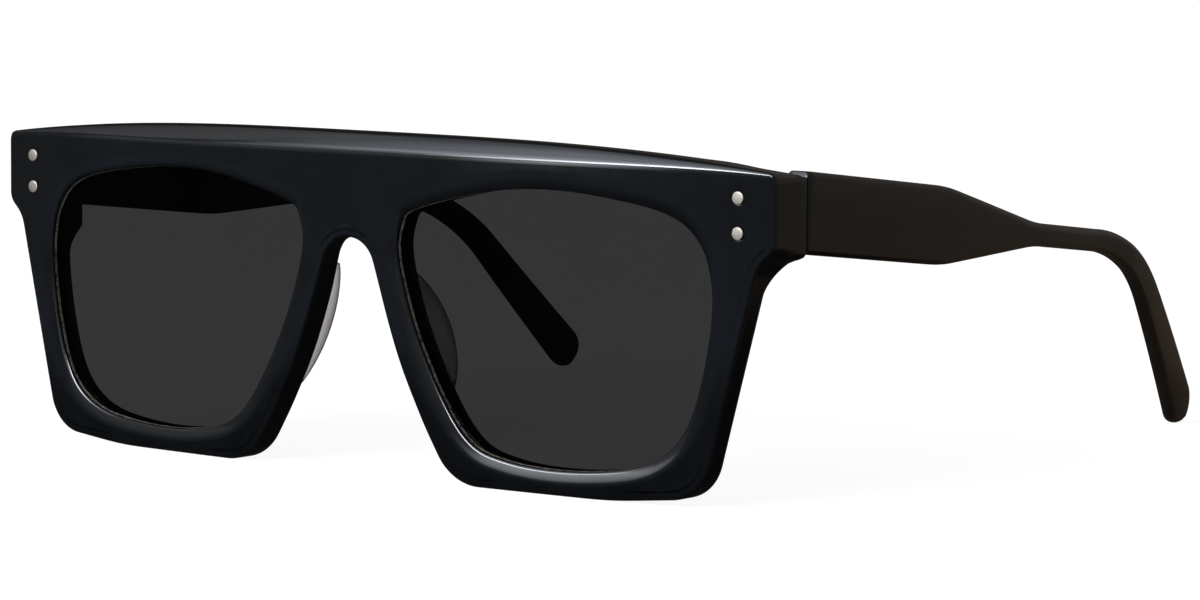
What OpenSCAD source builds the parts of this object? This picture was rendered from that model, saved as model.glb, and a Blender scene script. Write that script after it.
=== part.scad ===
// Square sunglasses with a straight brow, cut from thick acetate sheet.
// X runs across the face, Y from the front towards the ears, Z up.
// The open glasses stand on the lower rims and the tips of the temples, at Z = 0.

/* [Front] */
// Width of one lens opening at its front edge
lens_w = 54.8; // [50:0.2:60]
// Height of one lens opening at its front edge
lens_h = 40.4; // [37:0.2:44]
// Distance between the two openings
bridge_w = 18.3; // [16:0.1:22]
// Height of acetate over the nose, from the arch to the brow
bridge_h = 15.7; // [13:0.1:18]
// Radius of the arch over the nose
arch_r = 4.9; // [4:0.1:6]
// Height of the brow above the openings, in the middle
brow_h = 6.9; // [6:0.1:9]
// Fall of the brow line from the middle to the ends
brow_drop = 3.1; // [1:0.1:4]
// Width of the rim below the openings
bottom_rim_w = 3.6; // [3:0.1:5]
// Width of the rim beside the nose
nasal_rim_w = 4.4; // [3.6:0.1:5.5]
// Width of the rim on the temple side
side_rim_w = 4.6; // [4:0.1:6]
// Reach of the end piece beyond the opening
lug_w = 10.1; // [9:0.1:12]
// Depth of the rims, front to back
rim_d = 4.5; // [4:0.1:5.5]
// Distance from the front of the bridge to the back of the end pieces
lug_back = 12; // [11:0.1:14]
// Radius of the sweep of the front, seen from above
front_r = 665; // [400:5:1000]
// Width of the hollow rolled into the rims round each opening
scoop_w = 2.7; // [1.5:0.1:3]
// Depth of that hollow at the opening
scoop_d = 0.35; // [0.3:0.05:1]
// Height of the facet along the brow, in the middle
facet_h = 2.7; // [1.5:0.1:3]
// Depth of the facet along the brow, in the middle
facet_d = 1.4; // [0.8:0.1:2]
// Radius of the polished front edges
front_edge_r = 0.5; // [0.3:0.05:0.8]
// Radius of the tumbled back edge on the temple side
back_edge_r = 1.8; // [0.8:0.1:2]

/* [Lenses] */
// Thickness of a lens
lens_t = 2.0; // [1.6:0.1:2.2]
// Depth of the lens behind the front of the rim
lens_set = 1.3; // [1.2:0.05:1.6]
// Height of the bevelled edge that sits in the groove
lens_bevel = 0.75; // [0.5:0.05:0.9]

/* [Temples] */
// Distance from the hinge end of a temple to the corner of its ear bend
temple_l = 98.2; // [90:0.1:106]
// Thickness of a temple
temple_t = 3.6; // [3.2:0.1:4.5]
// Height of the wide front part
paddle_h = 11.7; // [10:0.1:13]
// Length of the wide front part
paddle_l = 37.4; // [30:0.1:42]
// Length of the taper behind it
taper_l = 27.5; // [20:0.5:34]
// Height of the narrow part
shank_h = 3.55; // [3:0.05:5]
// Slope of the temples down towards the ears, in degrees
temple_slope = 6.1; // [3:0.1:8]
// Slope of the tips behind the ears, in degrees
tip_slope = 47; // [40:0.5:55]
// Radius of the bend over the ear, along the middle of the temple
bend_r = 33; // [24:0.5:36]
// Height of the tip at its round end
tip_h = 7.4; // [5:0.1:8.5]
// Thickness of the tip
tip_t = 2.5; // [2.3:0.1:3.5]
// Sideways curve of the temple up to the bend
temple_bow = 2.8; // [0:0.1:5]
// Extra curve of the tip towards the head
tip_in = 6.3; // [0:0.1:8]

/* [Nose pads] */
// Height of a nose pad
pad_h = 18.6; // [15:0.2:22]
// Depth of a nose pad behind the rim
pad_d = 5.4; // [4:0.1:7]
// Width of a nose pad where it is glued on
pad_w = 3.2; // [2.5:0.1:3.5]

/* [Hinges] */
// Radius of the hinge barrels
barrel_r = 1.5; // [1.3:0.05:1.6]
// Height of each of the five barrels
barrel_h = 1.5; // [1.2:0.05:1.7]
// Radius of the hinge screw
screw_r = 0.7; // [0.6:0.05:0.8]
// Thickness of the hinge plates
plate_t = 1.0; // [0.8:0.05:1.2]
// Distance of the rivets from the end of the front
rivet_in = 5.9; // [5.6:0.1:6.4]
// Distance between the two rivets of one side
rivet_gap = 4.96; // [4.4:0.02:5.4]
// Radius of the rivet heads on the front
rivet_head_r = 0.98; // [0.8:0.02:1.1]
// Radius of the core wire in a temple, seen from the side
wire_h = 1.2; // [0.9:0.05:1.3]

/* [Hidden] */

acetate = "#1b1e23";
acetate_side = "#211f1c";
clear_acetate = "#b9b4ac";
lens_grey = "#333333";
nickel = "#c4c4bd";
steel = "#8f9296";

// Clearances
fit = 0.05;
running = 0.05;
butt_gap = 0.15;
side_gap = 0.25;

// Levels and edges of the front
open_left = bridge_w / 2;
open_right = open_left + lens_w;
open_top = bottom_rim_w + lens_h;
brow_z = open_top + brow_h;
arch_z = brow_z - bridge_h;
half_w = open_right + lug_w;
hinge_z = brow_z - brow_drop - 6.05;
lug_bottom = hinge_z - 4.7;

// The opening, in percent of its own width and height, clockwise from the nose
opening_shape = [
    [0.8, 68.6], [1.0, 83.7], [7.2, 90.8], [36.8, 99.3], [66.7, 98.3], [91.7, 89.9], [99.9, 66.3],
    [94.8, 25.5], [83.5, 6.7], [61.8, 0.5], [37.3, 1.5], [22.4, 10.1], [8.7, 39.1]
];
opening_knots = [
    for (p = opening_shape) [open_left + p[0] / 100 * lens_w, bottom_rim_w + p[1] / 100 * lens_h]];

// Small helpers
function mix(a, b, t) = a + (b - a) * t;
function clamp(v, low = 0, high = 1) = max(low, min(high, v));
function smooth(v) = let (s = clamp(v)) s * s * (3 - 2 * s);
function unit(v) = v / norm(v);
function left_of(v) = [-v[1], v[0]];
function sag(x) = front_r - sqrt(front_r * front_r - x * x);

// Closed smooth curve through knots, u runs from 0 to the number of knots
function curve(knots, u) =
    let (n = len(knots), i = floor(u), t = u - i, a = knots[(i + n - 1) % n], b = knots[i % n],
        c = knots[(i + 1) % n], d = knots[(i + 2) % n])
    0.5 * (2 * b + (c - a) * t + (2 * a - 5 * b + 4 * c - d) * t * t + (3 * b - a - 3 * c + d) * t * t * t);
function opening(u) = curve(opening_knots, (u + 2 * len(opening_knots)) % len(opening_knots));
function opening_tangent(u) = unit(opening(u + 0.01) - opening(u - 0.01));

// Place on the opening that is nearest to a point outside it
function nearest(p, low, high, steps) =
    let (middle = (low + high) / 2)
    steps == 0 ? middle
    : (p - opening(middle)) * opening_tangent(middle) > 0 ? nearest(p, middle, high, steps - 1)
    : nearest(p, low, middle, steps - 1);
function nearest_on_opening(p) =
    let (far = [for (k = [0 : 4 * len(opening_knots) - 1]) norm(p - opening(k / 4))],
        first = search(min(far), far)[0] / 4)
    nearest(p, first - 0.3, first + 0.3, 14);

// Path of straight stretches with rounded corners, each corner is [x, y, radius]
function corner_arc(before, at, after, longest) =
    let (a = unit([before[0] - at[0], before[1] - at[1]]), b = unit([after[0] - at[0], after[1] - at[1]]),
        half = acos(clamp(a * b, -1, 1)) / 2, reach = at[2] / tan(half), side = sign(cross(a, b)),
        centre = [at[0], at[1]] + unit(a + b) * at[2] / sin(half), turn = 180 - 2 * half,
        count = ceil(max(turn / 16, at[2] * turn * PI / 180 / longest)),
        start = [at[0], at[1]] + a * reach - centre, heading = atan2(start[1], start[0]))
    [for (k = [0 : count]) centre + at[2] * [cos(heading - side * turn * k / count),
        sin(heading - side * turn * k / count)]];
function rounded(corners, longest) = [
    for (i = [0 : len(corners) - 1])
        each corners[i][2] == 0 ? [[corners[i][0], corners[i][1]]]
            : corner_arc(corners[i - 1], corners[i], corners[i + 1], longest)
];
function stretch(points, longest) = [
    for (i = [0 : len(points) - 2])
        let (count = ceil(norm(points[i + 1] - points[i]) / longest - 0.01))
            for (k = [0 : 1 : count - 1]) mix(points[i], points[i + 1], k / count),
    points[len(points) - 1]
];

// Outline of the right half of the front, from the middle of the brow round to the arch
longest = 3;
brow_steps = 24;
brow_corner_r = 1.6;
brow_flat = 3;
lug_corner_r = 2.75;
lug_step = 2.8;
lug_step_h = 2.4;
lug_step_r = 5.3;
side_corner = [5.7, 1.45];
side_corner_r = 7;
bottom_r = 80;
nasal_foot_r = 8.7;
nasal_bow_r = 74;
nasal_swell = 0.32;
nasal_swell_z = [11, 32];
function brow(x) = brow_z - brow_drop * pow(x / half_w, 3);
function facet_line(x) = brow_z - facet_h - 0.25 * brow_drop * pow(x / half_w, 8);
nasal_bow = [open_left + 0.13 * lens_w - nasal_rim_w, bottom_rim_w + 0.22 * lens_h, nasal_bow_r];
arch_far = [nasal_bow[0], nasal_bow[1] - arch_z + arch_r];
arch_turn = 90 - atan2(arch_far[1], arch_far[0]) - acos(arch_r / norm(arch_far));
outline_corners = concat(
    [for (k = [0 : brow_steps]) let (x = k / brow_steps * (half_w - brow_flat)) [x, brow(x), 0]],
    [
        [half_w, brow(half_w), brow_corner_r],
        [half_w, lug_bottom, lug_corner_r],
        [half_w - lug_step, lug_bottom - lug_step_h, lug_step_r],
        [open_right - side_corner[0] + side_rim_w, side_corner[1], side_corner_r],
        [open_left + 0.7 * lens_w, 0, bottom_r],
        [open_left + 0.271 * lens_w - nasal_rim_w, 0, nasal_foot_r],
        nasal_bow,
        [arch_r * tan(arch_turn / 2), arch_z, arch_r]
    ]);
half_outline = stretch(rounded(concat(outline_corners, [[-arch_r, arch_z, 0]]), longest), longest);
bridge_steps = 5;
bridge_line = [for (k = [1 : bridge_steps]) [0, mix(arch_z, brow_z - facet_h, k / (bridge_steps + 1))]];
// The rim beside the nose swells a little towards it, halfway down
function swell_share(z) =
    pow(sin(180 * clamp((z - nasal_swell_z[0]) / (nasal_swell_z[1] - nasal_swell_z[0]))), 1.5);
function swollen(p) = p[0] < open_left + 0.25 * lens_w ? [p[0] - nasal_swell * swell_share(p[1]), p[1]] : p;
outline = [for (p = half_outline) if (p[0] > 0.01 || p[1] > arch_z + 1) swollen(p)];
spokes = concat(outline, [[0, arch_z]], bridge_line);
nose_spokes = len(spokes) - bridge_steps;

// Outward direction of the outline at a spoke
function outward(i) =
    i == 0 ? [0, 1]
    : i >= nose_spokes - 1 ? [0, -1]
    : unit(left_of(spokes[i + 1] - spokes[i - 1]));

// Depth of the back of the front: even rims that swell into the end pieces
function lug_share(x, z) =
    smooth((x - half_w + 14) / 7) * pow(clamp((z - lug_bottom + 6.3 + 0.3 * (half_w - 3 - x)) / 4.4), 1.8);
function back(p) = mix(sag(p[0]) + rim_d, lug_back, lug_share(p[0], p[1]));

// The end pieces fall with the temples behind the rims, and end in a square lower corner
function lug_fall(y, x) = max(0, y - sag(x) - 0.3 * rim_d) * tan(temple_slope);
function lug_flare(p) = p[1] > hinge_z ? 0 : (half_w - p[0]) * smooth((p[1] - lug_bottom + 2.3) / 1.4);

// Closed section of the acetate at one spoke, from the opening out to the outline and back
groove_gap = 0.3;
back_lip = 0.4;
plain_back_r = 0.6;
nasal_back_r = 0.8;
arch_back_r = 2.4;
lug_edge_r = 0.4;
function at_depth(p, y) = [p[0], y, p[1]];
function fallen(p, y, share) = [p[0], y, p[1] - share * lug_fall(y, p[0])];
function section(i) =
    let (o = spokes[i], out = outward(i), u = nearest_on_opening(o), c = opening(u),
        away = left_of(opening_tangent(u)), on_bridge = i >= nose_spokes,
        brow_part = smooth(1.6 * out[1] - 0.5),
        inset = on_bridge ? 0 : mix(front_edge_r, o[1] - facet_line(o[0]), brow_part),
        drop = on_bridge ? 0 : mix(front_edge_r, inset * facet_d / facet_h, brow_part),
        lug = lug_share(o[0], o[1]),
        arch_part = smooth((arch_r + 2 - o[0]) / arch_r),
        side_back_r = out[0] > 0 ? mix(plain_back_r, back_edge_r, out[0] * out[0])
            : mix(plain_back_r, mix(nasal_back_r, arch_back_r, arch_part),
                smooth((open_left + 0.25 * lens_w - o[0]) / 8) * (1 - brow_part)),
        back_r = on_bridge ? 0 : mix(side_back_r, lug_edge_r, lug),
        flare = [lug_flare(o) * lug, 0], fall = brow_part * lug,
        part = mix(0.29, 0.48, brow_part), middle = mix(c, o, 0.4),
        rolled = [for (k = [0 : 3]) c + away * scoop_w * k / 3],
        edge = [o - out * inset, o - out * inset * part, o, o + flare,
            o + flare - out * back_r * 0.29, o + flare - out * back_r])
    [
        for (k = [0 : 3]) at_depth(rolled[k], sag(rolled[k][0]) + scoop_d * pow(1 - k / 3, 2)),
        at_depth(edge[0], sag(edge[0][0])),
        at_depth(edge[1], sag(edge[1][0]) + drop * part * 0.9),
        at_depth(edge[2], sag(o[0]) + drop),
        fallen(edge[3], back(o) - back_r, fall),
        fallen(edge[4], back(edge[4] - flare) - back_r * 0.29, fall),
        fallen(edge[5], back(edge[5] - flare), fall),
        at_depth(middle, back(middle)),
        at_depth(c + away * back_lip, back(c + away * back_lip)),
        at_depth(c, back(c) - back_lip),
        at_depth(c, sag(c[0]) + lens_set + lens_t - groove_gap),
        at_depth(c + away * (lens_bevel + fit), sag(c[0]) + lens_set + lens_t / 2),
        at_depth(c, sag(c[0]) + lens_set + groove_gap)
    ];
sections = [for (i = [0 : len(spokes) - 1]) section(i)];

// Skin over rows of sections, with the triangles that are flat on the mirror plane left out
function real_triangle(points, t) =
    norm(points[t[0]] - points[t[1]]) > 0.0001 && norm(points[t[1]] - points[t[2]]) > 0.0001
    && norm(points[t[2]] - points[t[0]]) > 0.0001
    && max([for (k = t) abs(points[k][0])]) > 0.0001;
function skin(points, rows, size) = [
    for (i = [0 : rows - 1], j = [0 : size - 1])
        let (a = i * size + j, b = i * size + (j + 1) % size, next = (i + 1) % rows,
            c = next * size + (j + 1) % size, d = next * size + j)
            for (t = [[a, b, c], [a, c, d]]) if (real_triangle(points, t)) t
];

module acetate_front() {
    rows = len(sections);
    size = len(sections[0]);
    right = [for (s = sections) each s];
    left = [for (p = right) [-p[0], p[1], p[2]]];
    faces = skin(right, rows, size);
    turned = [for (t = faces) [t[0] + len(right), t[2] + len(right), t[1] + len(right)]];
    polyhedron(points = concat(right, left), faces = concat(faces, turned), convexity = 10);
}

// Hinge, all places for the right half of the model
hinge_y = lug_back + barrel_r + 0.35;
temple_inner = half_w - temple_t;
hinge_x = temple_inner - side_gap - barrel_r;
rivet_x = half_w - rivet_in;
rivet_shank_r = 0.6;
rivet_head_t = 0.6;
rivet_tail_r = 0.9;
rivet_tail_t = 0.4;
leaf_w = 4.2;
leaf_h = 9.6;
knuckle_gap = 0.06;
web_t = 1.0;

module along_y(r1, r2, y1, y2) {
    translate([0, y1, 0]) rotate([-90, 0, 0]) cylinder(h = y2 - y1, r1 = r1, r2 = r2, $fn = 48);
}
module at_rivets() {
    for (side = [-1, 1]) translate([rivet_x, 0, hinge_z + side * rivet_gap / 2]) children();
}
module block(low, high) {
    translate(low) cube(high - low);
}
module mirrored(side) {
    if (side < 0) mirror([1, 0, 0]) children();
    else children();
}

// Front, with the holes for the rivets and the seats for the hinges
module front_frame() {
    color(acetate) placed() difference() {
        acetate_front();
        for (side = [-1, 1]) mirrored(side) {
            at_rivets() {
                along_y(rivet_head_r + fit, rivet_head_r + fit, -1, sag(rivet_x) + rivet_head_t);
                along_y(rivet_shank_r + fit, rivet_shank_r + fit, 0, lug_back + 1);
            }
            block([rivet_x - leaf_w / 2 - fit, lug_back - plate_t - fit, hinge_z - leaf_h / 2 - fit],
                [rivet_x + leaf_w / 2 + fit, lug_back + 1, hinge_z + leaf_h / 2 + fit]);
        }
    }
}

// Rivet: flush head, shank through the front, tail set into the hinge plate
module rivet() {
    head_back = sag(rivet_x) + rivet_head_t - fit;
    along_y(rivet_head_r - 0.15, rivet_head_r, head_back - rivet_head_t - 0.15, head_back - rivet_head_t);
    along_y(rivet_head_r, rivet_head_r, head_back - rivet_head_t, head_back);
    along_y(rivet_shank_r, rivet_shank_r, head_back, lug_back - rivet_tail_t);
    along_y(rivet_shank_r, rivet_tail_r, lug_back - rivet_tail_t, lug_back);
}
module rivets(side) {
    color(nickel) placed(side) at_rivets() rivet();
}

// Barrels of one hinge leaf, counted from the bottom
module barrels(which) {
    for (k = which) translate([hinge_x, hinge_y, hinge_z + (k - 2.5) * barrel_h])
        cylinder(h = barrel_h - knuckle_gap, r = barrel_r, $fn = 48);
}
module webs(which, y1, y2) {
    for (k = which)
        block([hinge_x + barrel_r - web_t, y1, hinge_z + (k - 2.5) * barrel_h],
            [hinge_x + barrel_r, y2, hinge_z + (k - 2.5) * barrel_h + barrel_h - knuckle_gap]);
}
module screw_bore() {
    translate([hinge_x, hinge_y, hinge_z - 3 * barrel_h])
        cylinder(h = 6 * barrel_h, r = screw_r + running, $fn = 48);
}
module hinge_front_leaf(side) {
    color(nickel) placed(side) difference() {
        union() {
            block([rivet_x - leaf_w / 2, lug_back - plate_t, hinge_z - leaf_h / 2],
                [rivet_x + leaf_w / 2, lug_back, hinge_z + leaf_h / 2]);
            barrels([0, 2, 4]);
            webs([0, 2, 4], lug_back - plate_t / 2, hinge_y);
        }
        screw_bore();
        at_rivets() {
            along_y(rivet_shank_r + fit, rivet_shank_r + fit, 0, lug_back);
            along_y(rivet_shank_r + fit, rivet_tail_r + fit, lug_back - rivet_tail_t, lug_back);
        }
    }
}

// Plate of the temple leaf, half sunk into the temple, with the anchor of the core wire
arm_plate_y = hinge_y + barrel_r + 0.2;
arm_plate_l = 12;
arm_plate_h = 6.4;
arm_plate_sunk = 0.4;
anchor_l = 4;
anchor_h = 2.6;
wire_t = 1.0;
wire_start = arm_plate_y + arm_plate_l;
module arm_plate(gap) {
    block([temple_inner + arm_plate_sunk - plate_t - gap, arm_plate_y - gap, hinge_z - arm_plate_h / 2 - gap],
        [temple_inner + arm_plate_sunk + gap, wire_start + gap, hinge_z + arm_plate_h / 2 + gap]);
    block([temple_inner, wire_start - anchor_l - gap, hinge_z - 1 - anchor_h / 2 - gap],
        [half_w - temple_t / 2 + wire_t / 2 + gap, wire_start + gap, hinge_z - 1 + anchor_h / 2 + gap]);
}
module hinge_temple_leaf(side) {
    color(nickel) placed(side) difference() {
        union() {
            arm_plate(0);
            barrels([1, 3]);
            webs([1, 3], hinge_y, arm_plate_y + 2);
        }
        screw_bore();
    }
}

// Screw through the five barrels, with a slotted cheese head on top
screw_head_r = 1.15;
screw_head_t = 0.7;
slot_w = 0.35;
module hinge_screw(side) {
    top = hinge_z + 2.5 * barrel_h;
    color(steel) placed(side) translate([hinge_x, hinge_y, 0]) {
        translate([0, 0, hinge_z - 2.5 * barrel_h]) cylinder(h = 5 * barrel_h, r = screw_r, $fn = 48);
        difference() {
            translate([0, 0, top]) cylinder(h = screw_head_t, r = screw_head_r, $fn = 48);
            block([-2, -slot_w / 2, top + screw_head_t / 2], [2, slot_w / 2, top + 1]);
        }
    }
}

// Lens: bevelled edge in the groove, both faces with the sweep of the front
lens_rings = 3;
function lens_ring(grow, share, y) = [
    for (i = [0 : len(spokes) - 1])
        let (u = nearest_on_opening(spokes[i]), c = opening(u) + left_of(opening_tangent(u)) * grow,
            middle = [(open_left + open_right) / 2, bottom_rim_w + lens_h / 2], p = mix(middle, c, share))
            at_depth(p, sag(p[0]) + y)
];
module lens(side) {
    front_y = lens_set;
    back_y = lens_set + lens_t;
    land = groove_gap + 0.1;
    rings = concat(
        [for (k = [1 : lens_rings]) lens_ring(-fit, k / lens_rings, front_y)],
        [lens_ring(-fit, 1, front_y + land), lens_ring(lens_bevel, 1, (front_y + back_y) / 2),
            lens_ring(-fit, 1, back_y - land)],
        [for (k = [lens_rings : -1 : 1]) lens_ring(-fit, k / lens_rings, back_y)]);
    capped(rings, lens_grey, side);
}

// Tube of rings, each clockwise as seen from the first one, closed by a fan at each end
module capped(rings, paint, side) {
    size = len(rings[0]);
    last = (len(rings) - 1) * size;
    points = concat([for (r = rings) each r], [middle_of(rings[0]), middle_of(rings[len(rings) - 1])]);
    faces = concat(
        [for (i = [0 : len(rings) - 2], j = [0 : size - 1])
            let (a = i * size + j, b = i * size + (j + 1) % size)
                each [[a, b + size, b], [a, a + size, b + size]]],
        [for (j = [0 : size - 1]) [len(points) - 2, j, (j + 1) % size]],
        [for (j = [0 : size - 1]) [len(points) - 1, last + (j + 1) % size, last + j]]);
    color(paint) placed(side) polyhedron(points = points, faces = faces, convexity = 6);
}
function middle_of(ring) = [for (k = [0 : 2]) [for (p = ring) p[k]] * [for (p = ring) 1] / len(ring)];

// Middle line of a temple in its side plane, as [y, z]
temple_y = lug_back + butt_gap;
temple_z = hinge_z + 0.25;
bend_at = [temple_y + temple_l * cos(temple_slope), temple_z - temple_l * sin(temple_slope)];
tip_drop = bend_at[1] - tip_h / 2;
tip_end = [bend_at[0] + tip_drop / tan(tip_slope), tip_h / 2];
temple_line = stretch(rounded([
    [temple_y, temple_z, 0], [bend_at[0], bend_at[1], bend_r], [tip_end[0], tip_end[1], 0]], 4), 6);

// Distance along the temple of each point of its middle line
function travelled(line, i) = i == 0 ? 0 : travelled(line, i - 1) + norm(line[i] - line[i - 1]);
line_l = travelled(temple_line, len(temple_line) - 1);
bend_s = temple_l - bend_r * tan((tip_slope - temple_slope) / 2);
taper_ease = 3;
bend_run = 20;
thin_run = 26;
function eased(v, ease) = v < -ease ? 0 : v > ease ? v : (v + ease) * (v + ease) / 4 / ease;
function half_height(s) =
    let (taper = (eased(s - paddle_l, taper_ease) - eased(s - paddle_l - taper_l, taper_ease)) / taper_l,
        tip_share = clamp((s - bend_s) / (line_l - bend_s)))
    (mix(paddle_h, shank_h, taper) + (tip_h - shank_h) * tip_share) / 2;
function thickness(s) = mix(temple_t, tip_t, smooth((s - bend_s + bend_run) / thin_run));
function inward(y) =
    let (straight_l = bend_at[0] - 1 - temple_y, tip_reach = 40)
    temple_bow * pow((y - temple_y) / straight_l, 2)
        + tip_in * pow(max(0, y - temple_y - straight_l) / tip_reach, 1.3);

// Rounded section across the temple: half height h, half thickness t, corner radius r
function temple_ring(at, up, h, t, r, x) = [
    for (corner = [[1, 1], [-1, 1], [-1, -1], [1, -1]], k = [0 : 3])
        let (turn = (corner[0] * corner[1] > 0 ? k : 3 - k) * 30,
            rise = corner[0] * (h - r + r * cos(turn)), wide = corner[1] * (t - r + r * sin(turn)))
            [x + wide, at[0] + up[0] * rise, at[1] + up[1] * rise]
];
function line_up(i) =
    i == 0 ? [0, 1] : left_of(unit(temple_line[min(i + 1, len(temple_line) - 1)] - temple_line[i - 1]));
tip_round = [18, 36, 54, 70, 82];
function temple_rings() = concat(
    [for (i = [0 : len(temple_line) - 1])
        let (s = travelled(temple_line, i), h = half_height(s), y = temple_line[i][0],
            r = mix(0.9, 1.1, clamp((s - paddle_l) / taper_l)))
            temple_ring(temple_line[i], line_up(i), h, thickness(s) / 2, r,
                half_w - temple_t / 2 - inward(y))],
    [for (turn = tip_round)
        let (way = unit(tip_end - bend_at), at = tip_end + way * tip_h / 2 * sin(turn),
            h = tip_h / 2 * cos(turn), t = tip_t / 2 * (0.4 + 0.6 * cos(turn)))
            temple_ring(at, left_of(way), h, t, min(1.1, 0.9 * h, 0.9 * t),
                half_w - temple_t / 2 - inward(at[0]) + tip_t / 2 - t)]);

// Every piece is drawn with the front of the bridge at Y = 0, then moved so that the
// origin lies below the middle of the open glasses
middle_y = max([for (ring = temple_rings()) for (p = ring) p[1]]) / 2;
module placed(side = 1) {
    translate([0, -middle_y, 0]) mirrored(side) children();
}

// Core wire, and the channel that holds it
wire_end = 12;
function wire_rings(gap) = [
    for (i = [0 : len(temple_line) - 1])
        let (s = travelled(temple_line, i), y = temple_line[i][0])
            if (y > wire_start + 1 && s < line_l - wire_end)
                let (up = line_up(i), h = wire_h / 2 + gap, x = half_w - temple_t / 2 - inward(y))
                    [for (c = [[1, 1], [-1, 1], [-1, -1], [1, -1]])
                        [x + c[1] * (wire_t / 2 + gap), temple_line[i][0] + up[0] * c[0] * h,
                            temple_line[i][1] + up[1] * c[0] * h]]
];
function wire_root(gap) = [
    for (c = [[1, 1], [-1, 1], [-1, -1], [1, -1]])
        [half_w - temple_t / 2 + c[1] * (wire_t / 2 + gap), wire_start + (gap > 0 ? -gap : fit),
            hinge_z - 1 + c[0] * (anchor_h / 2 - 0.4 + gap)]
];
module core_wire(side, gap = 0) {
    capped(concat([wire_root(gap)], wire_rings(gap)), steel, side);
}
module temple(side) {
    color(acetate_side) difference() {
        capped(temple_rings(), acetate_side, side);
        placed(side) arm_plate(fit);
        core_wire(side, fit);
    }
}

// Nose pad: a crescent glued behind the rim, leaning out towards the cheek
pad_top = arch_z - 4.6;
pad_steps = 14;
pad_lean = 0.42;
pad_in = 1.05;
nasal_side = [
    for (p = outline) if (p[0] < open_left + 0.2 * lens_w && p[1] < arch_z - 0.5 && p[1] > 1) [p[1], p[0]]];
function pad_ring(t) =
    let (z = pad_top - pad_h * t, swell = pow(sin(6 + 168 * t), 0.54), d = pad_d * swell,
        w = pad_w * (0.55 + 0.45 * swell), x = lookup(z, nasal_side) + pad_in, y = sag(x) + rim_d + fit,
        tip = pad_lean * d)
    [for (p = [[0, 0], [0.2 * tip, 0.45 * d], [0.58 * tip, 0.84 * d], [tip, d], [tip + 0.25 * w, 0.93 * d],
        [mix(w, tip + 0.4 * w, 0.6), 0.55 * d], [w, 0]]) [x + p[0], y + p[1], z]];
module nose_pad(side) {
    capped([for (k = [0 : pad_steps]) pad_ring(k / pad_steps)], clear_acetate, side);
}

front_frame();
lens(1);  // lens_left
lens(-1);  // lens_right
nose_pad(1);  // nose_pad_left
nose_pad(-1);  // nose_pad_right
temple(1);  // temple_left
temple(-1);  // temple_right
core_wire(1);  // core_wire_left
core_wire(-1);  // core_wire_right
hinge_front_leaf(1);  // hinge_front_leaf_left
hinge_front_leaf(-1);  // hinge_front_leaf_right
hinge_temple_leaf(1);  // hinge_temple_leaf_left
hinge_temple_leaf(-1);  // hinge_temple_leaf_right
hinge_screw(1);  // hinge_screw_left
hinge_screw(-1);  // hinge_screw_right
rivets(1);  // rivets_left
rivets(-1);  // rivets_right
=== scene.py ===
# Square acetate sunglasses: fine surfaces, materials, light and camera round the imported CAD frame.
# Sizes are in millimetres here, with the front of the bridge at Y = 0, as in the part's source.
import math

import bmesh
import bpy
import numpy as np
from mathutils import Matrix, Vector


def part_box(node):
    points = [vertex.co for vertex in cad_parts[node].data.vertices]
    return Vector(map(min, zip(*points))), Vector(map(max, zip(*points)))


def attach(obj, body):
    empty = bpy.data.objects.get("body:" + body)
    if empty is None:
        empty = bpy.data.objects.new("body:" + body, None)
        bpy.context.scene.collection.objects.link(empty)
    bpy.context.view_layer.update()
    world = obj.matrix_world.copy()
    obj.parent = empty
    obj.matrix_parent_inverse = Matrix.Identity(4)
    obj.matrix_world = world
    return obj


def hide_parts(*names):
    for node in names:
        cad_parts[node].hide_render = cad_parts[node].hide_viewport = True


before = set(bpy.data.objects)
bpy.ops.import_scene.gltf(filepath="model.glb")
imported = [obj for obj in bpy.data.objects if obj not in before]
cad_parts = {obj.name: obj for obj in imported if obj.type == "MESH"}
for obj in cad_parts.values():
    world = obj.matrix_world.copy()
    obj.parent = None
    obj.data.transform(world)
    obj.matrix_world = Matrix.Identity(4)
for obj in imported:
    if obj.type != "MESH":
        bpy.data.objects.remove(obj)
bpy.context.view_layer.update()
MM = 0.001
MIDDLE_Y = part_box("temple_left")[1].y / MM

# Sizes. Lens opening, bridge, brow and rims.
LENS_W, LENS_H, BRIDGE_W, BRIDGE_H = 54.8, 40.4, 18.3, 15.7
ARCH_R, BROW_H, BROW_DROP = 4.9, 6.9, 3.1
BOTTOM_RIM, NASAL_RIM, SIDE_RIM, LUG_W = 3.6, 4.4, 4.6, 10.1
OPEN_L = BRIDGE_W / 2
OPEN_R = OPEN_L + LENS_W
NASAL_END = OPEN_L + 0.25 * LENS_W
BROW_Z = BOTTOM_RIM + LENS_H + BROW_H
ARCH_Z = BROW_Z - BRIDGE_H
HALF_W = OPEN_R + LUG_W
HINGE_Z = BROW_Z - BROW_DROP - 6.05
LUG_Z = HINGE_Z - 4.7
# Depths, the hollow round the lens, the brow facet and the edges.
RIM_D, LUG_BACK, FRONT_R = 4.5, 12, 665
SCOOP_W, SCOOP_D, FACET_H, FACET_D = 2.7, 0.35, 2.7, 1.4
EDGE_R, BACK_R, PLAIN_BACK_R, NASAL_BACK_R, ARCH_BACK_R, LUG_EDGE_R = 0.5, 1.8, 0.6, 0.8, 2.4, 0.4
# Corners of the outline, and where the end piece begins.
BROW_CORNER_R, BROW_END = 1.6, 3
NASAL_BOW_R, BOTTOM_BOW_R, INNER_CORNER_R, OUTER_CORNER_R = 74, 80, 8.7, 7
OUTER_CORNER = np.array([-5.7, 1.45])
LUG_CORNER_R, LUG_NECK_R, LUG_NECK = 2.75, 5.3, np.array([-2.8, -2.4])
LUG_REACH, LUG_FADE, LUG_LOW, LUG_LEAN, LUG_RISE = 14, 7, 6.3, 0.3, 4.4
NASAL_SWELL, NASAL_SWELL_Z = 0.32, (11, 32)
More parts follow.
